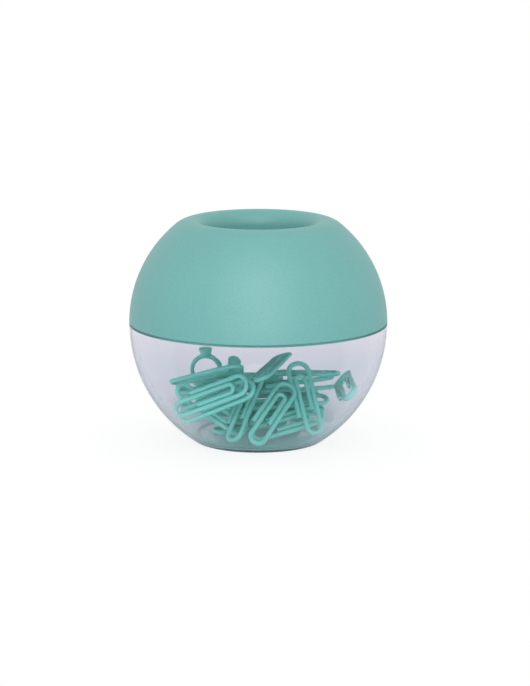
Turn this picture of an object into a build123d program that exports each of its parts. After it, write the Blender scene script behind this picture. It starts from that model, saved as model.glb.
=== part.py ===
from build123d import *
import math
import os

import numpy as np

# Magnetic paper clip holder: a clear bowl, a domed lid with a magnet round its mouth, and the clips inside.
# Millimetres, +Z up, origin at the middle of the base on the table, front towards -Y.

# Bowl
body_diameter = 85.0        # widest, at the seam
bowl_height = 39.8          # table to seam
base_diameter = 40.5        # where the wall's curve meets the table
bowl_wall = 2.2             # also the thickness of the floor
heel_radius = 5.7           # rounding between base and wall
floor_radius = 6.0          # rounding inside, between floor and wall
spigot_height = 4.0         # stands up above the seam, inside the lid
spigot_wall = 1.1
bowl_edge = 0.35            # break of the edge at the seam

# Lid
lid_height = 34.2           # seam to the top of the lip
dome_radius = 42.0          # of the dome's side, from the seam to the lip
lip_radius = 8.0            # of the lip where it turns over from the dome
roll_radius = 4.67          # of the roll from the lip down into the throat
lid_wall = 2.2
throat_diameter = 35.0      # clear way through the mouth
throat_length = 16.0        # top of the lip to the end of the throat
lid_edge = 0.5              # break of the edge at the seam
spigot_fit = 0.1            # radial, lid on spigot
spigot_headroom = 0.5       # above the spigot, inside the lid

# Magnet and the tray that holds it
magnet_wall = 6.0           # radial width of the ring
magnet_height = 5.0
magnet_gap = 0.3            # radial, round the throat
magnet_headroom = 0.1       # below the ribs
tray_floor = 1.6
tray_rim_wall = 1.5
tray_rim_height = 3.5       # above the tray's floor
tray_rim_gap = 0.4          # radial, round the magnet
tray_fit = 0.06             # radial, on the throat
bead_height = 1.0           # snap bead at the end of the throat
bead_width = 0.5
rib_count = 6
rib_thickness = 1.4

# Paper clip
clip_length = 28.0
clip_width = 8.0
wire_diameter = 1.5         # with its coating
core_diameter = 0.9         # bare steel in the cut end
core_recess = 0.2           # how far the cut end of the core sits back
clip_leg_gap = 0.2          # between neighbouring legs
outer_end_setback = 7.0     # free end of the outer leg, from the end of the clip
inner_end_setback = 9.0     # free end of the inner leg
inner_loop_setback = 5.0    # inner loop, from the end of the outer loop

# Loop clip
loop_diameter = 11.0
collar_top_diameter = 4.6
collar_neck_diameter = 3.4
collar_height = 2.4

# Heap
rest_gap = 0.12             # left between one wire and the next, and between wire and bowl
lift_step = 0.5             # how much higher a front clip is tried when there is no room

# Pieces let down from above, in this order: across, back, heading, pitch, roll
lower_places = (
    (-3.8, 6.1, 33, 0, 0),
    (-3.6, 6.2, -21, 0, 13),
    (6.8, 13.0, -33, 0, -13),
    (-1.9, 15.4, 30, 0, 0),
    (10.4, 4.7, 32, 0, 13),
    (3.8, 8.5, 33, 0, -13),
    (-13.6, 8.0, 21, 0, 1),
    (10.5, 4.6, 15, 0, 13),
    (6.9, 12.9, 11, 0, -13),
    (-0.6, 20.0, 2, 0, 1),
    (-13.5, 7.9, -16, 0, 13),
    (13.7, 9.4, 15, 0, -13),
    (-8.9, 21.8, 7, 0, 1),
    (-0.4, 19.9, 4, 0, 12),
    (13.8, 9.5, 33, 0, -14),
    (14.0, 13.0, -5, 0, -6),
)
loop_places = (
    (-17.8, 16.0, 0, 0, 0),
    (-10.0, 8.0, 25, 0, 40),
)
cover_places = (
    (-16.0, 2.0, -36, 10, 45),
    (-17.0, -1.0, -28, 18, -20),
    (28.5, -5.0, 91, 0, -50),
)
top_place = (4.2, -1.0, 70, 7, -20)

# Front row, pressed back from the wall before the top clip: across, level wanted, heading, pitch, roll
front_places = (
    (9.7, 5.4, 27, 8, 40),
    (-15.1, 9.2, -1, -35, 51),
    (-13.5, 13.2, -12, 24, 55),
    (-5.0, 11.6, 65, 41, -10),
    (15.4, 12.0, 107, 48, -11),
    (4.2, 10.2, 57, 31, 32),
    (-15.5, 17.6, -17, 23, 62),
)

# Shared levels and radii
seam_radius = body_diameter / 2
seam = bowl_height
top = bowl_height + lid_height
base_radius = base_diameter / 2

# Bowl wall: one arc, upright at the seam and ending at the base
wall_reach = seam_radius - base_radius
wall_radius = (wall_reach**2 + bowl_height**2) / (2 * wall_reach)
wall_centre = seam_radius - wall_radius
wall_angle = math.degrees(math.atan2(bowl_height, base_radius - wall_centre))
inside_radius = wall_radius - bowl_wall
floor = bowl_wall
bend_level = floor + floor_radius
bend_centre = wall_centre + math.sqrt((inside_radius - floor_radius)**2 - (seam - bend_level)**2)
bend_angle = math.degrees(math.atan2(seam - bend_level, bend_centre - wall_centre))
spigot_inside = wall_centre + inside_radius
spigot_outside = spigot_inside + spigot_wall
skirt_radius = spigot_outside + spigot_fit

# Lid curves, from the throat out: roll, lip, then the dome as an arc that runs from the lip to the seam
throat_radius = throat_diameter / 2
roll_level = top - roll_radius
lip_centre = throat_radius + roll_radius
lip_level = top - lip_radius
dome_run = seam_radius - lip_centre
dome_rise = lip_level - seam
dome_span = math.hypot(dome_run, dome_rise)
dome_along = (dome_span**2 + dome_radius**2 - (dome_radius - lip_radius)**2) / (2 * dome_span)
dome_aside = math.sqrt(dome_radius**2 - dome_along**2)
dome_centre = seam_radius - (dome_along * dome_run + dome_aside * dome_rise) / dome_span
dome_level = seam + (dome_along * dome_rise - dome_aside * dome_run) / dome_span
lip_angle = math.degrees(math.atan2(lip_level - dome_level, lip_centre - dome_centre))
throat_outside = throat_radius + lid_wall
throat_end = top - throat_length

# Magnet stack, from the bead up
tray_level = throat_end + bead_height
magnet_level = tray_level + tray_floor
magnet_inside = throat_outside + magnet_gap
magnet_outside = magnet_inside + magnet_wall
tray_rim_inside = magnet_outside + tray_rim_gap
rib_level = magnet_level + magnet_height + magnet_headroom

os.makedirs("parts", exist_ok=True)


def dome_arc(depth, low):
    """The dome's side, this far below its outer surface, from the given level up to the lip."""
    radius = dome_radius - depth
    start = math.degrees(math.asin((low - dome_level) / radius))
    return CenterArc((dome_centre, dome_level), radius, start, lip_angle - start)


def lip_arcs(depth):
    """The lip and the roll into the throat, this far below their outer surface."""
    CenterArc((lip_centre, lip_level), lip_radius - depth, lip_angle, 90 - lip_angle)
    return CenterArc((lip_centre, roll_level), roll_radius - depth, 90, 90)


# Bowl
with BuildPart() as bowl:
    with BuildSketch(Plane.XZ):
        with BuildLine():
            Polyline((0, floor), (0, 0), (base_radius, 0))
            CenterArc((wall_centre, seam), wall_radius, -wall_angle, wall_angle)
            Polyline(
                (seam_radius, seam),
                (spigot_outside, seam),
                (spigot_outside, seam + spigot_height),
                (spigot_inside, seam + spigot_height),
                (spigot_inside, seam),
            )
            CenterArc((wall_centre, seam), inside_radius, 0, -bend_angle)
            CenterArc((bend_centre, bend_level), floor_radius, -bend_angle, bend_angle - 90)
            Line((bend_centre, floor), (0, floor))
        make_face()
    revolve(axis=Axis.Z)
    rings = bowl.edges().filter_by(GeomType.CIRCLE)
    heel = rings.group_by(Axis.Z)[0].sort_by(SortBy.RADIUS)[-1]
    fillet(heel, heel_radius)
    level_rings = bowl.edges().filter_by(GeomType.CIRCLE).filter_by(Plane.XY)
    rim = level_rings.sort_by(SortBy.RADIUS)[-1]
    chamfer(rim, bowl_edge)
    chamfer(bowl.edges().filter_by(GeomType.CIRCLE).group_by(Axis.Z)[-1], spigot_wall / 4)
bowl.part.label = "bowl"

# Lid
step_level = seam + spigot_height + spigot_headroom
with BuildPart() as lid:
    with BuildSketch(Plane.XZ):
        with BuildLine():
            dome_arc(0, seam)
            outer = lip_arcs(0)
            Polyline(
                outer @ 1,
                (throat_radius, throat_end),
                (throat_outside + bead_width, throat_end),
                (throat_outside + bead_width, throat_end + bead_height / 2),
                (throat_outside, tray_level),
                (throat_outside, roll_level),
            )
            lip_arcs(lid_wall)
            inner = dome_arc(lid_wall, step_level)
            Polyline(
                inner @ 0,
                (skirt_radius, step_level),
                (skirt_radius, seam),
                (seam_radius, seam),
            )
        make_face()
    revolve(axis=Axis.Z)
    with BuildSketch(Plane.XZ) as rib:
        with BuildLine():
            lip_arcs(lid_wall / 2)
            crest = dome_arc(lid_wall / 2, rib_level)
            Polyline(
                crest @ 0,
                (throat_radius + lid_wall / 2, rib_level),
                (throat_radius + lid_wall / 2, roll_level),
            )
        make_face()
    with PolarLocations(0, rib_count):
        extrude(rib.sketch, rib_thickness / 2, both=True)
    rings = lid.edges().filter_by(GeomType.CIRCLE)
    chamfer(rings.group_by(Axis.Z)[0].sort_by(SortBy.RADIUS)[-1], lid_edge)
lid.part.label = "lid"

# Magnet
with BuildPart() as ring_magnet:
    with BuildSketch(Plane.XY.offset(magnet_level)):
        Circle(magnet_outside)
        Circle(magnet_inside, mode=Mode.SUBTRACT)
    extrude(amount=magnet_height)
    chamfer(ring_magnet.edges().filter_by(GeomType.CIRCLE), magnet_wall / 12)
ring_magnet.part.label = "ring_magnet"

# Tray
with BuildPart() as magnet_tray:
    with BuildSketch(Plane.XY.offset(tray_level)):
        Circle(tray_rim_inside + tray_rim_wall)
        Circle(throat_outside + tray_fit, mode=Mode.SUBTRACT)
    extrude(amount=tray_floor)
    with BuildSketch(Plane.XY.offset(magnet_level)):
        Circle(tray_rim_inside + tray_rim_wall)
        Circle(tray_rim_inside, mode=Mode.SUBTRACT)
    extrude(amount=tray_rim_height)
    rings = magnet_tray.edges().filter_by(GeomType.CIRCLE)
    fillet(rings.group_by(Axis.Z)[0].sort_by(SortBy.RADIUS)[-1], tray_floor / 2)
magnet_tray.part.label = "magnet_tray"

# One paper clip, flat, with its middle at the origin
leg_pitch = wire_diameter + clip_leg_gap
outer_leg = (clip_width - wire_diameter) / 2
inner_leg = outer_leg - leg_pitch
far_bend = (outer_leg + inner_leg) / 2
wire_end = (clip_length - wire_diameter) / 2
near_x = wire_end - outer_leg
far_x = far_bend - wire_end
inner_x = wire_end - inner_loop_setback - inner_leg
outer_start = outer_end_setback - clip_length / 2
inner_stop = inner_end_setback - clip_length / 2
with BuildPart() as clip:
    with BuildLine() as clip_wire:
        Line((outer_start, outer_leg), (near_x, outer_leg))
        CenterArc((near_x, 0), outer_leg, 90, -180)
        Line((near_x, -outer_leg), (far_x, -outer_leg))
        CenterArc((far_x, far_bend - outer_leg), far_bend, -90, -180)
        Line((far_x, inner_leg), (inner_x, inner_leg))
        CenterArc((inner_x, 0), inner_leg, 90, -180)
        Line((inner_x, -inner_leg), (inner_stop, -inner_leg))
    with BuildSketch(Plane(clip_wire.line @ 0, z_dir=clip_wire.line % 0)):
        Circle(wire_diameter / 2)
    sweep(path=clip_wire.line)
    with BuildSketch(Plane(clip_wire.line @ 0, z_dir=clip_wire.line % 0)):
        Circle(core_diameter / 2)
    extrude(amount=core_recess, mode=Mode.SUBTRACT)
    with BuildSketch(Plane(clip_wire.line @ 1, z_dir=clip_wire.line % 1)):
        Circle(core_diameter / 2)
    extrude(amount=-core_recess, mode=Mode.SUBTRACT)

# One loop clip, upright, with the middle of its ring at the origin
ring_radius = (loop_diameter - wire_diameter) / 2
collar_top = ring_radius + wire_diameter / 2 + collar_height
with BuildPart() as loop:
    with BuildSketch(Plane.XY):
        with Locations((ring_radius, 0)):
            Circle(wire_diameter / 2)
    revolve(axis=Axis.Y)
    with BuildSketch(Plane.XZ):
        with BuildLine():
            Polyline(
                (0, ring_radius),
                (collar_neck_diameter / 2, ring_radius),
                (collar_top_diameter / 2, collar_top),
                (0, collar_top),
                close=True,
            )
        make_face()
    revolve(axis=Axis.Z)
    fillet(loop.edges().filter_by(GeomType.CIRCLE).group_by(Axis.Z)[-1], wire_diameter / 4)

# Where the middle of the wire is, as points along it
fine_step = 0.4
clip_path = clip_wire.wire()
clip_stations = np.linspace(0, clip_path.length, round(clip_path.length / fine_step))
clip_fine = np.array([tuple(clip_path.position_at(along, PositionMode.LENGTH)) for along in clip_stations])
loop_turn = np.linspace(0, 2 * math.pi, round(2 * math.pi * ring_radius / fine_step), endpoint=False)
loop_ring = np.column_stack(
    [ring_radius * np.cos(loop_turn), 0 * loop_turn, ring_radius * np.sin(loop_turn)]
)
collar_turn = loop_turn[::4]
collar_inset = (collar_top_diameter - wire_diameter) / 2
collar_ring = np.column_stack(
    [collar_inset * np.cos(collar_turn), collar_inset * np.sin(collar_turn), 0 * collar_turn]
)
collar_levels = np.arange(ring_radius, collar_top - wire_diameter / 2, fine_step)
loop_fine = np.vstack([loop_ring] + [collar_ring + (0, 0, level) for level in collar_levels])

wire_room = wire_diameter / 2 + rest_gap
wire_pitch = wire_diameter + rest_gap
bend_room = floor_radius - wire_room
wall_room = inside_radius - wire_room
bend_start = bend_level - bend_room * math.sin(math.radians(bend_angle))
bend_end = bend_centre + bend_room * math.cos(math.radians(bend_angle))
no_room = 1000.0


def bowl_level(radius):
    """Lowest level for the middle of a wire, this far from the axis."""
    on_wall = seam - np.sqrt(np.maximum(wall_room**2 - (radius - wall_centre)**2, 0))
    on_wall = np.where(radius < wall_centre + wall_room, on_wall, no_room)
    on_bend = bend_level - np.sqrt(np.maximum(bend_room**2 - (radius - bend_centre)**2, 0))
    level = np.where(radius > bend_centre, on_bend, floor + wire_room)
    return np.where(radius > bend_end, on_wall, level)


def bowl_reach(level):
    """Greatest distance from the axis for the middle of a wire, at this level."""
    on_wall = wall_centre + np.sqrt(np.maximum(wall_room**2 - (seam - level)**2, 0))
    on_bend = bend_centre + np.sqrt(np.maximum(bend_room**2 - (bend_level - level)**2, 0))
    reach = np.where(level < bend_start, on_bend, on_wall)
    return np.where(level < floor + wire_room, -no_room, reach)


def aim(heading, pitch, roll):
    """Axes of a piece rolled about its length, then tipped up, then turned to its heading, in degrees."""
    h, p, r = (math.radians(angle) for angle in (heading, pitch, roll))
    turned = np.array([[math.cos(h), -math.sin(h), 0], [math.sin(h), math.cos(h), 0], [0, 0, 1]])
    tipped = np.array([[math.cos(p), 0, -math.sin(p)], [0, 1, 0], [math.sin(p), 0, math.cos(p)]])
    rolled = np.array([[1, 0, 0], [0, math.cos(r), -math.sin(r)], [0, math.sin(r), math.cos(r)]])
    return turned @ tipped @ rolled


def gaps_along(path, heap, axis):
    """Along one axis, the way from each point of a path to each wire near it, and half the chord there."""
    others = [k for k in range(3) if k != axis]
    low = path[:, others].min(axis=0) - wire_pitch
    high = path[:, others].max(axis=0) + wire_pitch
    near = heap[np.all((heap[:, others] > low) & (heap[:, others] < high), axis=1)]
    aside = near[None, :, others] - path[:, None, others]
    chord = wire_pitch**2 - np.sum(aside**2, axis=2)
    touching = chord > 0
    way = near[None, :, axis] - path[:, None, axis]
    return way[touching], np.sqrt(chord[touching])


def rest_level(path, heap):
    """How far a path drawn about the level of the table must rise to lie on the bowl and the heap."""
    level = np.max(bowl_level(np.hypot(path[:, 0], path[:, 1])) - path[:, 2])
    way, chord = gaps_along(path, heap, 2)
    return max(level, np.max(way + chord, initial=-no_room))


def let_down(axes, across, back, path, heap):
    """Where a piece comes to rest when it is let down from above."""
    placed = path @ axes.T + (across, back, 0)
    return np.array([across, back, rest_level(placed, heap)])


def press_back(axes, across, level, path, heap):
    """Where a piece stops when it is pressed back from the front wall, raised only if there is no room."""
    for step in range(round(bowl_height / lift_step)):
        placed = path @ axes.T + (across, 0, level + step * lift_step)
        reach = bowl_reach(placed[:, 2])
        if np.any(reach < np.abs(placed[:, 0])):
            continue
        wall = np.max(-np.sqrt(reach**2 - placed[:, 0]**2) - placed[:, 1])
        way, chord = gaps_along(placed, heap, 1)
        ahead = way + chord > wall
        stop = np.min((way - chord)[ahead], initial=no_room)
        if wall < stop < no_room:
            return np.array([across, stop, level + step * lift_step])
    return let_down(axes, across, 0, path, heap)


heap = clip_fine[:0]
laid = []


def lay(shape, axes, position, path, name):
    """Add a piece to the heap at its resting place."""
    global heap
    heap = np.vstack([heap, path @ axes.T + position])
    place = Plane(tuple(position), x_dir=tuple(axes[:, 0]), z_dir=tuple(axes[:, 2]))
    laid.append((shape, place, name))


def lay_let_down(shape, place, path, name):
    """Let a piece down at a place given as across, back, heading, pitch and roll."""
    axes = aim(*place[2:])
    lay(shape, axes, let_down(axes, place[0], place[1], path, heap), path, name)


clip_names = (f"paper_clip_{number:02d}" for number in range(1, 100))
for place in lower_places:
    lay_let_down(clip, place, clip_fine, next(clip_names))
for number, place in enumerate(loop_places, 1):
    lay_let_down(loop, place, loop_fine, f"loop_clip_{number}")
for place in cover_places:
    lay_let_down(clip, place, clip_fine, next(clip_names))
for across, level, *angles in front_places:
    axes = aim(*angles)
    lay(clip, axes, press_back(axes, across, level, clip_fine, heap), clip_fine, next(clip_names))
lay_let_down(clip, top_place, clip_fine, "top_clip")

for piece in (bowl, lid, ring_magnet, magnet_tray):
    export_step(piece.part, f"parts/{piece.part.label}.step")

for shape, place, name in laid:
    with BuildPart() as piece:
        with Locations(place.location):
            add(shape.part)
    piece.part.label = name
    export_step(piece.part, f"parts/{name}.step")
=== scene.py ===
import math

import bpy
from bpy.props import FloatProperty, FloatVectorProperty, PointerProperty
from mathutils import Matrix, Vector


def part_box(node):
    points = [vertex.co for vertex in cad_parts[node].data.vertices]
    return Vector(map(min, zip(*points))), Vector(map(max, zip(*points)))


bl_info = {
    "name": "Paper Clip Holder",
    "version": (1, 0, 0),
    "blender": (4, 5, 0),
    "location": "3D View > Sidebar > Clip Holder",
    "description": "Finishes a paper clip holder: clear bowl, satin lid, hidden magnet and coated clips",
    "category": "Object",
}

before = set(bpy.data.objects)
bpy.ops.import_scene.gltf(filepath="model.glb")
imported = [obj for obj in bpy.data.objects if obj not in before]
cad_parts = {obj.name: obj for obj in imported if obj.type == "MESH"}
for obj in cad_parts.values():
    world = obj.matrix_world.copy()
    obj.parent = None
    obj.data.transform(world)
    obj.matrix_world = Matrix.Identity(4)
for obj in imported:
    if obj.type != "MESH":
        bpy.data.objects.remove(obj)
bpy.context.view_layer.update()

MM = 0.001
WHITE = (1.0, 1.0, 1.0, 1.0)

CLIP_NODES = sorted(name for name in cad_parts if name.startswith("paper_clip_")) + ["top_clip"]
LOOP_NODES = sorted(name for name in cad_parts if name.startswith("loop_clip_"))

# The picture that the camera is set for, in its own pixels, and where the aimed point lies in it
PICTURE_WIDE = 530
PICTURE_HIGH = 686
AIM_ACROSS = 258.3
AIM_DOWN = 324.4

# Soft boxes: where each one stands, and its width and height, in metres
SOFT_BOXES = {
    "key": (Vector((0, -1.1, 0.6)), (1.4, 1.2)),
    "low": (Vector((0, -1.2, 0.13)), (0.9, 0.22)),
    "top": (Vector((0, -0.75, 0.8)), (0.6, 0.6)),
}
FLOOR_CORNERS = 96

# Kinds of ray: straight from the camera, by way of gloss or glass, all of these, and those that carry light
STRAIGHT_RAYS = ("Is Camera Ray",)
BENT_RAYS = ("Is Glossy Ray", "Is Transmission Ray")
SEEN_RAYS = STRAIGHT_RAYS + BENT_RAYS
LIGHTING_RAYS = ("Is Shadow Ray", "Is Diffuse Ray")

# Places in the list of materials on the bowl, and of the steel on a clip
OUTSIDE, INSIDE, EDGE = range(3)
CUT = 1

# The bowl's moulded edges, by the upright part of a face's normal and by the height of the foot's edge
SLANTED = 0.2
LEVEL = 0.97
FOOT_EDGE = 0.8 * MM

# How far a surface has turned away from the eye where it counts as edge on
EDGE_ON = 0.95


def colour_property(name, description, default):
    """A linear colour that a user can set."""
    return FloatVectorProperty(
        name=name, description=description, default=default, subtype="COLOR", size=3, min=0.0, max=1.0
    )


def length_property(name, description, default):
    """A length in metres that a user can set."""
    return FloatProperty(
        name=name, description=description, default=default,
        min=0.0, subtype="DISTANCE", unit="LENGTH", precision=5,
    )


def share_property(name, description, default):
    """A share from none to all that a user can set."""
    return FloatProperty(
        name=name, description=description, default=default, min=0.0, max=1.0, subtype="FACTOR"
    )


def number_property(name, description, default):
    """A plain positive number that a user can set."""
    return FloatProperty(name=name, description=description, default=default, min=0.0)


def angle_property(name, description, degrees):
    """An angle that a user can set."""
    return FloatProperty(
        name=name, description=description, default=math.radians(degrees), subtype="ANGLE", unit="ROTATION"
    )


def power_property(name, description, default):
    """A lamp's power in watts that a user can set."""
    return FloatProperty(
        name=name, description=description, default=default, min=0.0, subtype="POWER", unit="POWER"
    )


class BowlSettings(bpy.types.PropertyGroup):
    """Clear moulded plastic of the bowl."""

    tint: colour_property("Tint", "What white light keeps after both walls", (0.70, 0.685, 0.765))
    # Painted shade and a painted reflection of the teal clips: a dark teal laid on near the thick base, full
    # below the low level and gone above the high level.
    base_painted_shade: colour_property("Low Tint", "What it keeps near the thick base", (0.20, 0.40, 0.42))
    edge_tint: colour_property("Edge Tint", "What it keeps where the wall is edge on", (0.17, 0.14, 0.24))
    low_level: length_property("Low Level", "Height below which the low tint is full", 0.5 * MM)
    high_level: length_property("High Level", "Height above which no low tint is left", 9 * MM)
    edge_width: share_property("Edge Width", "Share of the turn from the eye that the edge tint takes", 0.3)
    index: number_property("Index", "Refractive index of the plastic", 1.49)
    polish: share_property("Polish", "Roughness of the polished faces", 0.02)
    glare: share_property("Glare", "How much of the plain surface reflection is kept", 0.3)
    haze: share_property("Haze", "Extra roughness where the faces have been handled", 0.05)
    haze_size: length_property("Haze Size", "How wide a handled patch is", 14 * MM)
    ripple_size: length_property("Ripple Size", "How far apart the mould's ripples are", 22 * MM)
    ripple_depth: length_property("Ripple Depth", "How deep the mould's ripples are", 0.006 * MM)
    # Painted shade of the gap at the seam and the foot, and a painted reflection of the teal lid and clips,
    # as the colour of the frosted edges.
    edge_painted_shade: colour_property("Edge Colour", "Colour of the frosted edges", (0.13, 0.36, 0.37))
    edge_clear: share_property("Edge Clear", "How much light the frosted edges let through", 0.5)
    frost_size: length_property("Frost Size", "How wide a grain of the frosted edges is", 0.6 * MM)
    frost_shade: share_property("Frost Shade", "How far the colour differs over the frost", 0.1)
    frost_roughness: share_property("Frost Roughness", "Roughness of the frosted edges", 0.6)
    frost_spread: share_property("Frost Spread", "How far that roughness goes either way", 0.1)


class LidSettings(bpy.types.PropertyGroup):
    """Satin moulded plastic of the lid and of the tray inside it."""

    colour: colour_property("Colour", "Colour of the plastic", (0.107, 0.342, 0.322))
    shade: share_property("Shade", "How far the colour differs over the moulding", 0.2)
    fine_share: share_property("Fine Share", "How much of that is fine grain and not wide drift", 0.8)
    shade_size: length_property("Shade Size", "How wide a drift of colour is", 16 * MM)
    grain_size: length_property("Grain Size", "How wide a grain of the satin surface is", 0.6 * MM)
    grain_depth: length_property("Grain Depth", "How deep the grain is", 0.012 * MM)
    roughness: share_property("Roughness", "Roughness of the satin surface", 0.5)
    spread: share_property("Spread", "How far the roughness goes either way", 0.06)
    gloss: share_property("Gloss", "Strength of the satin reflection", 0.95)


class ClipSettings(bpy.types.PropertyGroup):
    """Coated wire of the clips and the steel in their cut ends."""

    colour: colour_property("Colour", "Colour of the coating", (0.21, 0.69, 0.615))
    shade: share_property("Shade", "How far the colour differs", 0.08)
    own_share: share_property("Own Share", "How much of that is one clip against the next", 0.5)
    mark_size: length_property("Mark Size", "How long a rubbed patch of the coating is", 2.5 * MM)
    mark_depth: length_property("Mark Depth", "How deep a rubbed patch is", 0.02 * MM)
    roughness: share_property("Roughness", "Roughness of the coating", 0.36)
    spread: share_property("Spread", "How far the roughness goes either way", 0.08)
    gloss: share_property("Gloss", "Strength of the coating's reflection", 0.3)
    coat: share_property("Coat", "Weight of the glossy skin on the coating", 0.08)
    coat_roughness: share_property("Coat Roughness", "Roughness of the glossy skin", 0.2)
    steel: colour_property("Steel", "Colour of the bare steel", (0.30, 0.30, 0.31))
    steel_shade: share_property("Steel Shade", "How far the steel's colour differs", 0.25)
    steel_roughness: share_property("Steel Roughness", "Roughness of the bare steel", 0.425)
    steel_spread: share_property("Steel Spread", "How far that roughness goes either way", 0.125)
    shear_size: length_property("Shear Size", "How wide a mark of the shears is", 0.15 * MM)
    core_span: length_property("Core Span", "A face of the wire smaller than this is its cut core", 1.5 * MM)


class MagnetSettings(bpy.types.PropertyGroup):
    """Sintered ring magnet."""

    colour: colour_property("Colour", "Colour of the sintered body", (0.045, 0.045, 0.05))
    shade: share_property("Shade", "How far the colour differs", 0.35)
    grain_size: length_property("Grain Size", "How wide a sintered grain is", 0.6 * MM)
    grain_depth: length_property("Grain Depth", "How deep the grain is", 0.05 * MM)
    roughness: share_property("Roughness", "Roughness of the sintered body", 0.72)
    spread: share_property("Spread", "How far the roughness goes either way", 0.1)


class StageSettings(bpy.types.PropertyGroup):
    """Camera, floor and lamps."""

    distance: length_property("Distance", "Camera to the point that it aims at", 1062 * MM)
    elevation: angle_property("Elevation", "Camera above the horizon", 10.73)
    aim_height: length_property("Aim Height", "Height of the point that the camera aims at", 38.96 * MM)
    scale: number_property("Scale", "Picture pixels to a metre at the aimed point", 3034.7)
    floor: colour_property("Floor", "Colour of the floor where it is lit or shaded", (0.78, 0.86, 0.90))
    floor_radius: length_property("Floor Radius", "Radius of the floor", 3000 * MM)
    floor_gap: length_property("Floor Gap", "Floor below the base", 0.2 * MM)
    shadow: share_property("Shadow", "How much of the floor's shading the picture shows", 0.19)
    shadow_reach: length_property("Shadow Reach", "Where the shadow has faded out, from the middle", 75 * MM)
    through_shadow: share_property("Through Shadow", "The same share in gloss and through the bowl", 0.78)
    through_start: length_property("Through Start", "Where that shadow begins to fade", 110 * MM)
    through_reach: length_property("Through Reach", "Where that shadow has faded out", 210 * MM)
    ambient: share_property("Ambient", "Strength of the light from all round", 0.86)
    key_power: power_property("Key Power", "Power of the soft box in front", 2.5)
    low_power: power_property("Low Power", "Power of the soft box near the floor", 2.0)
    top_power: power_property("Top Power", "Power of the soft box above", 2.2)


class HolderSettings(bpy.types.PropertyGroup):
    """All the settings of the clip holder."""

    bowl: PointerProperty(type=BowlSettings, name="Bowl", description="Clear bowl")
    lid: PointerProperty(type=LidSettings, name="Lid", description="Satin lid and tray")
    clips: PointerProperty(type=ClipSettings, name="Clips", description="Coated clips")
    magnet: PointerProperty(type=MagnetSettings, name="Magnet", description="Ring magnet")
    stage: PointerProperty(type=StageSettings, name="Stage", description="Camera, floor and lamps")


class Signal:
    """An output socket that takes part in Python arithmetic."""

    def __init__(self, finish, socket):
        self.finish = finish
        self.socket = socket

    def maths(self, operation, first, second):
        return self.finish.node("ShaderNodeMath", {"operation": operation}, {0: first, 1: second})

    def __add__(self, other):
        return self.maths("ADD", self, other)

    def __radd__(self, other):
        return self.maths("ADD", other, self)

    def __sub__(self, other):
        return self.maths("SUBTRACT", self, other)

    def __rsub__(self, other):
        return self.maths("SUBTRACT", other, self)

    def __mul__(self, other):
        return self.maths("MULTIPLY", self, other)

    def __rmul__(self, other):
        return self.maths("MULTIPLY", other, self)


class Finish:
    """The nodes of a material or a world, made one by one."""

    def __init__(self, owner):
        owner.use_nodes = True
        self.owner = owner
        self.tree = owner.node_tree
        self.tree.nodes.clear()

    def node(self, kind, settings, sockets, output=0):
        """Add a node: its settings are set first, then its sockets are given values or links."""
        made = self.tree.nodes.new(kind)
        for name, value in settings.items():
            setattr(made, name, value)
        for key, value in sockets.items():
            if isinstance(value, Signal):
                self.tree.links.new(value.socket, made.inputs[key])
            else:
                made.inputs[key].default_value = value
        return Signal(self, made.outputs[output])

    def place(self):
        """Where a point of the surface is, in metres."""
        return self.node("ShaderNodeTexCoord", {}, {}, "Object")

    def noise(self, size, detail):
        """A cloudy pattern from 0 to 1 whose patches are about this wide."""
        sockets = {"Vector": self.place(), "Scale": 1 / size, "Detail": detail}
        return self.node("ShaderNodeTexNoise", {}, sockets, "Fac")

    def ramp(self, value, low, high, kind="SMOOTHSTEP"):
        """A run from 0 at a low value to 1 at a high one."""
        sockets = {"Value": value, "From Min": low, "From Max": high}
        return self.node("ShaderNodeMapRange", {"interpolation_type": kind}, sockets)

    def mix(self, factor, first, second):
        """A colour between two colours, each plain or a signal."""
        ends = [end if isinstance(end, Signal) else (*end, 1.0) for end in (first, second)]
        return self.node("ShaderNodeMix", {"data_type": "RGBA"}, {0: factor, 6: ends[0], 7: ends[1]}, 2)

    def shades(self, colour, spread, factor):
        """A colour that runs from a little darker to a little lighter with a factor."""
        darker = [part * (1 - spread) for part in colour]
        lighter = [min(1.0, part * (1 + spread)) for part in colour]
        return self.mix(factor, darker, lighter)

    def bump(self, height, depth):
        """A normal that follows a height pattern this deep."""
        return self.node("ShaderNodeBump", {}, {"Distance": depth, "Height": height})

    def any_ray(self, kinds):
        """1 for light of any of these kinds, and 0 for the rest."""
        total = 0.0
        for kind in kinds:
            total = self.node("ShaderNodeLightPath", {}, {}, kind) + total
        return self.node("ShaderNodeClamp", {}, {"Value": total})

    def shader(self, **sockets):
        """The standard surface shader."""
        named = {key.replace("_", " "): value for key, value in sockets.items()}
        return self.node("ShaderNodeBsdfPrincipled", {}, named)

    def either(self, factor, first, second):
        """The first shader where a factor is 0, and the second where it is 1."""
        return self.node("ShaderNodeMixShader", {}, {0: factor, 1: first, 2: second})

    def surface(self, shader):
        """Send a shader to the output."""
        world = isinstance(self.owner, bpy.types.World)
        made = self.tree.nodes.new("ShaderNodeOutputWorld" if world else "ShaderNodeOutputMaterial")
        self.tree.links.new(shader.socket, made.inputs["Surface"])
        return self.owner


def uneven(level, spread, pattern):
    """A value that goes this far either way of a level with a pattern."""
    return level - spread + 2 * spread * pattern


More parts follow.
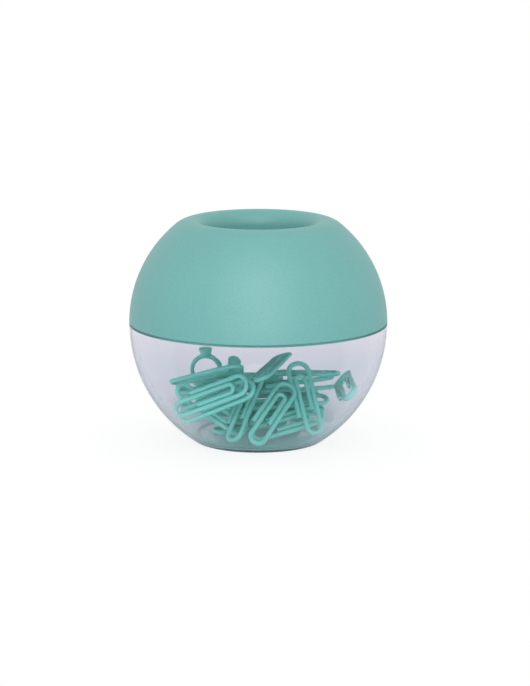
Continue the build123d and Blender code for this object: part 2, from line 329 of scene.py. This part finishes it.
def bowl_tint_and_painted_shade(finish, settings):
    """What the clear plastic leaves of the light, less where it is seen edge on, with painted shade and a
    painted reflection of the teal clips darkening it towards the thick base.
    """
    height = finish.node("ShaderNodeSeparateXYZ", {}, {0: finish.place()}, "Z")
    turned = finish.node("ShaderNodeLayerWeight", {}, {}, "Facing")
    # Painted shade near the base: the dark teal base shade is full at the low level and gone by the high
    # level.
    rising = finish.ramp(height, settings.low_level, settings.high_level, "LINEAR")
    plain = finish.mix(rising, settings.base_painted_shade, settings.tint)
    return finish.mix(finish.ramp(turned, 1 - settings.edge_width, EDGE_ON), plain, settings.edge_tint)


def clear_plastic(name, settings, tinted):
    """Clear plastic with soft ripples from the mould and a little haze where it is handled."""
    finish = Finish(bpy.data.materials.new(name))
    handled = finish.noise(settings.haze_size, detail=4.0)
    ripples = finish.noise(settings.ripple_size, detail=1.0)
    glassy = finish.shader(
        Base_Color=bowl_tint_and_painted_shade(finish, settings) if tinted else WHITE,
        Roughness=settings.polish + settings.haze * handled * handled,
        IOR=settings.index,
        Transmission_Weight=1.0,
        Specular_Tint=(settings.glare, settings.glare, settings.glare, 1.0),
        Normal=finish.bump(ripples, settings.ripple_depth),
    )
    clear = finish.node("ShaderNodeBsdfTransparent", {}, {"Color": WHITE})
    return finish.surface(finish.either(finish.any_ray(LIGHTING_RAYS), glassy, clear))


def frosted_edge_painted_shade(settings):
    """The moulded edges at the seam and the foot, a little frosted, coloured with painted shade and a
    painted reflection of the teal lid and clips.
    """
    finish = Finish(bpy.data.materials.new("frosted_edge_painted_shade"))
    frost = finish.noise(settings.frost_size, detail=3.0)
    return finish.surface(finish.shader(
        # The base colour is painted shade and a painted teal reflection, varied a little over the frost.
        Base_Color=finish.shades(settings.edge_painted_shade, settings.frost_shade, frost),
        Roughness=uneven(settings.frost_roughness, settings.frost_spread, frost),
        IOR=settings.index,
        Transmission_Weight=settings.edge_clear,
    ))


def satin_plastic(settings):
    """Coloured plastic with the fine grain of an etched mould."""
    finish = Finish(bpy.data.materials.new("satin_plastic"))
    drift = finish.noise(settings.shade_size, detail=2.0)
    grain = finish.noise(settings.grain_size, detail=3.0)
    mottle = (1 - settings.fine_share) * drift + settings.fine_share * grain
    return finish.surface(finish.shader(
        Base_Color=finish.shades(settings.colour, settings.shade, mottle),
        Roughness=uneven(settings.roughness, settings.spread, grain),
        Specular_IOR_Level=settings.gloss,
        Normal=finish.bump(grain, settings.grain_depth),
    ))


def coated_wire(settings):
    """Smooth plastic coating with rubbed patches, a little different on each clip."""
    finish = Finish(bpy.data.materials.new("coated_wire"))
    own = finish.node("ShaderNodeObjectInfo", {}, {}, "Random")
    rubbed = finish.noise(settings.mark_size, detail=3.0)
    mottle = settings.own_share * own + (1 - settings.own_share) * rubbed
    return finish.surface(finish.shader(
        Base_Color=finish.shades(settings.colour, settings.shade, mottle),
        Roughness=uneven(settings.roughness, settings.spread, rubbed),
        Specular_IOR_Level=settings.gloss,
        Coat_Weight=settings.coat,
        Coat_Roughness=settings.coat_roughness,
        Normal=finish.bump(rubbed, settings.mark_depth),
    ))


def cut_steel(settings):
    """Bare steel, sheared and a little dull."""
    finish = Finish(bpy.data.materials.new("cut_steel"))
    shear = finish.noise(settings.shear_size, detail=3.0)
    return finish.surface(finish.shader(
        Base_Color=finish.shades(settings.steel, settings.steel_shade, shear),
        Roughness=uneven(settings.steel_roughness, settings.steel_spread, shear),
        Metallic=1.0,
    ))


def sintered_ferrite(settings):
    """Dark grey sintered magnet with an open grain."""
    finish = Finish(bpy.data.materials.new("sintered_ferrite"))
    grain = finish.noise(settings.grain_size, detail=5.0)
    return finish.surface(finish.shader(
        Base_Color=finish.shades(settings.colour, settings.shade, grain),
        Roughness=uneven(settings.roughness, settings.spread, grain),
        Normal=finish.bump(grain, settings.grain_depth),
    ))


def dress(name, *materials):
    """Give a node of the frame these materials, the first one all over."""
    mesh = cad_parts[name].data
    mesh.materials.clear()
    for material in materials:
        mesh.materials.append(material)
    for polygon in mesh.polygons:
        polygon.material_index = 0


def sort_bowl_faces():
    """Tell the faces that look into the bowl and its two moulded edges from the rest of the outside."""
    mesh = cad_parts["bowl"].data
    low, high = (Vector(corner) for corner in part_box("bowl"))
    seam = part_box("lid")[0][2]
    middle = (low + high) / 2
    for polygon in mesh.polygons:
        rim = SLANTED < polygon.normal.z < LEVEL and polygon.center.z < seam
        foot = -LEVEL < polygon.normal.z and polygon.center.z < low.z + FOOT_EDGE
        if (middle - polygon.center).dot(polygon.normal) > 0:
            polygon.material_index = INSIDE
        elif rim or foot:
            polygon.material_index = EDGE
        else:
            polygon.material_index = OUTSIDE


def faces_of_solid(mesh):
    """The mesh's polygons in groups that share corners, one group for each face of the solid."""
    leads_to = list(range(len(mesh.vertices)))

    def first_of(corner):
        while leads_to[corner] != corner:
            leads_to[corner] = leads_to[leads_to[corner]]
            corner = leads_to[corner]
        return corner

    for polygon in mesh.polygons:
        first, *others = polygon.vertices
        for other in others:
            leads_to[first_of(other)] = first_of(first)
    groups = {}
    for polygon in mesh.polygons:
        groups.setdefault(first_of(polygon.vertices[0]), []).append(polygon)
    return list(groups.values())


def bare_the_core(name, span):
    """Show the steel on the small faces in the cut ends of a wire, and say how many there are."""
    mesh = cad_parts[name].data
    found = 0
    for polygons in faces_of_solid(mesh):
        corners = [mesh.vertices[corner].co for polygon in polygons for corner in polygon.vertices]
        low = Vector(map(min, zip(*corners)))
        high = Vector(map(max, zip(*corners)))
        if (high - low).length < span:
            found += 1
            for polygon in polygons:
                polygon.material_index = CUT
    return found


class CLIPHOLDER_OT_bowl(bpy.types.Operator):
    """Make the bowl clear"""

    bl_idname = "clip_holder.bowl"
    bl_label = "Bowl"

    def execute(self, context):
        settings = context.scene.clip_holder.bowl
        outside = clear_plastic("clear_outside", settings, True)
        inside = clear_plastic("clear_inside", settings, False)
        dress("bowl", outside, inside, frosted_edge_painted_shade(settings))
        sort_bowl_faces()
        return {"FINISHED"}


class CLIPHOLDER_OT_lid(bpy.types.Operator):
    """Give the lid and the tray inside it their satin colour"""

    bl_idname = "clip_holder.lid"
    bl_label = "Lid and Tray"

    def execute(self, context):
        satin = satin_plastic(context.scene.clip_holder.lid)
        for name in ("lid", "magnet_tray"):
            dress(name, satin)
        return {"FINISHED"}


class CLIPHOLDER_OT_magnet(bpy.types.Operator):
    """Finish the magnet hidden round the mouth"""

    bl_idname = "clip_holder.magnet"
    bl_label = "Magnet"

    def execute(self, context):
        dress("ring_magnet", sintered_ferrite(context.scene.clip_holder.magnet))
        return {"FINISHED"}


class CLIPHOLDER_OT_clips(bpy.types.Operator):
    """Coat the clips and bare the steel in their cut ends"""

    bl_idname = "clip_holder.clips"
    bl_label = "Clips"

    def execute(self, context):
        settings = context.scene.clip_holder.clips
        coating = coated_wire(settings)
        steel = cut_steel(settings)
        for name in LOOP_NODES:
            dress(name, coating)
        for name in CLIP_NODES:
            dress(name, coating, steel)
            if not bare_the_core(name, settings.core_span):
                raise RuntimeError(f"{name} has no cut core smaller than the core span")
        return {"FINISHED"}


def make_camera(settings, aim):
    """Stand the camera where the picture was taken from."""
    data = bpy.data.cameras.new("camera")
    long_side = max(PICTURE_WIDE, PICTURE_HIGH)
    data.lens = settings.scale * settings.distance / long_side * data.sensor_width
    data.shift_x = (PICTURE_WIDE / 2 - AIM_ACROSS) / long_side
    data.shift_y = (AIM_DOWN - PICTURE_HIGH / 2) / long_side
    back = Vector((0, -math.cos(settings.elevation), math.sin(settings.elevation)))
    camera = bpy.data.objects.new("camera", data)
    camera.location = aim + settings.distance * back
    camera.rotation_euler = (math.pi / 2 - settings.elevation, 0, 0)
    return camera


def pale_floor(settings):
    """A pale floor that keeps a soft shadow near the holder and is plain white further out."""
    finish = Finish(bpy.data.materials.new("pale_floor"))
    out = finish.node("ShaderNodeVectorMath", {"operation": "LENGTH"}, {0: finish.place()}, "Value")
    near = 1 - finish.ramp(out, 0.0, settings.shadow_reach)
    around = 1 - finish.ramp(out, settings.through_start, settings.through_reach, "LINEAR")
    straight = finish.any_ray(STRAIGHT_RAYS) * (1 - settings.shadow * near)
    through = finish.any_ray(BENT_RAYS) * (1 - settings.through_shadow * around)
    lit = finish.node("ShaderNodeBsdfDiffuse", {}, {"Color": (*settings.floor, 1.0)})
    plain = finish.node("ShaderNodeEmission", {}, {"Color": WHITE, "Strength": 1.0})
    return finish.surface(finish.either(straight + through, lit, plain))


def make_floor(settings):
    """A round floor just below the base."""
    turns = [2 * math.pi * corner / FLOOR_CORNERS for corner in range(FLOOR_CORNERS)]
    radius = settings.floor_radius
    rim = [(radius * math.cos(turn), radius * math.sin(turn), 0) for turn in turns]
    mesh = bpy.data.meshes.new("floor")
    mesh.from_pydata(rim, [], [range(FLOOR_CORNERS)])
    mesh.materials.append(pale_floor(settings))
    floor = bpy.data.objects.new("floor", mesh)
    floor.location.z = -settings.floor_gap
    return floor


def make_world(settings):
    """White all round to look at, and a softer light from all round."""
    finish = Finish(bpy.data.worlds.new("studio"))
    light = finish.node("ShaderNodeBackground", {}, {"Color": WHITE, "Strength": settings.ambient})
    plain = finish.node("ShaderNodeBackground", {}, {"Color": WHITE, "Strength": 1.0})
    return finish.surface(finish.either(finish.any_ray(SEEN_RAYS), light, plain))


def make_soft_box(name, aim, power):
    """A rectangular lamp turned to face a point."""
    place, size = SOFT_BOXES[name]
    data = bpy.data.lights.new(f"{name}_box", "AREA")
    data.shape = "RECTANGLE"
    data.size, data.size_y = size
    data.energy = power
    lamp = bpy.data.objects.new(f"{name}_box", data)
    lamp.location = place
    lamp.rotation_mode = "QUATERNION"
    lamp.rotation_quaternion = (aim - place).to_track_quat("-Z", "Y")
    return lamp


class CLIPHOLDER_OT_stage(bpy.types.Operator):
    """Set up the camera, the floor and the lamps"""

    bl_idname = "clip_holder.stage"
    bl_label = "Stage"

    def execute(self, context):
        scene = context.scene
        settings = scene.clip_holder.stage
        aim = Vector((0, 0, settings.aim_height))
        camera = make_camera(settings, aim)
        floor = make_floor(settings)
        key = make_soft_box("key", aim, settings.key_power)
        low = make_soft_box("low", aim, settings.low_power)
        top = make_soft_box("top", aim, settings.top_power)
        for made in (camera, floor, key, low, top):
            scene.collection.objects.link(made)
        scene.camera = camera
        scene.world = make_world(settings)
        scene.view_settings.view_transform = "Standard"
        return {"FINISHED"}


class CLIPHOLDER_PT_panel(bpy.types.Panel):
    """Lists the steps that finish the clip holder"""

    bl_idname = "CLIPHOLDER_PT_panel"
    bl_label = "Clip Holder"
    bl_space_type = "VIEW_3D"
    bl_region_type = "UI"
    bl_category = "Clip Holder"

    def draw(self, context):
        for step, group in STEPS:
            settings = getattr(context.scene.clip_holder, group)
            box = self.layout.box()
            box.operator(step.bl_idname)
            for name in settings.__annotations__:
                box.prop(settings, name)


STEPS = (
    (CLIPHOLDER_OT_bowl, "bowl"),
    (CLIPHOLDER_OT_lid, "lid"),
    (CLIPHOLDER_OT_magnet, "magnet"),
    (CLIPHOLDER_OT_clips, "clips"),
    (CLIPHOLDER_OT_stage, "stage"),
)

CLASSES = (
    BowlSettings,
    LidSettings,
    ClipSettings,
    MagnetSettings,
    StageSettings,
    HolderSettings,
    *(step for step, group in STEPS),
    CLIPHOLDER_PT_panel,
)


def register():
    for made in CLASSES:
        bpy.utils.register_class(made)
    bpy.types.Scene.clip_holder = PointerProperty(type=HolderSettings)


def unregister():
    del bpy.types.Scene.clip_holder
    for made in reversed(CLASSES):
        bpy.utils.unregister_class(made)


def main():
    """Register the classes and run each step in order."""
    register()
    bpy.ops.clip_holder.bowl()
    bpy.ops.clip_holder.lid()
    bpy.ops.clip_holder.magnet()
    bpy.ops.clip_holder.clips()
    bpy.ops.clip_holder.stage()


if __name__ == "__main__":
    main()
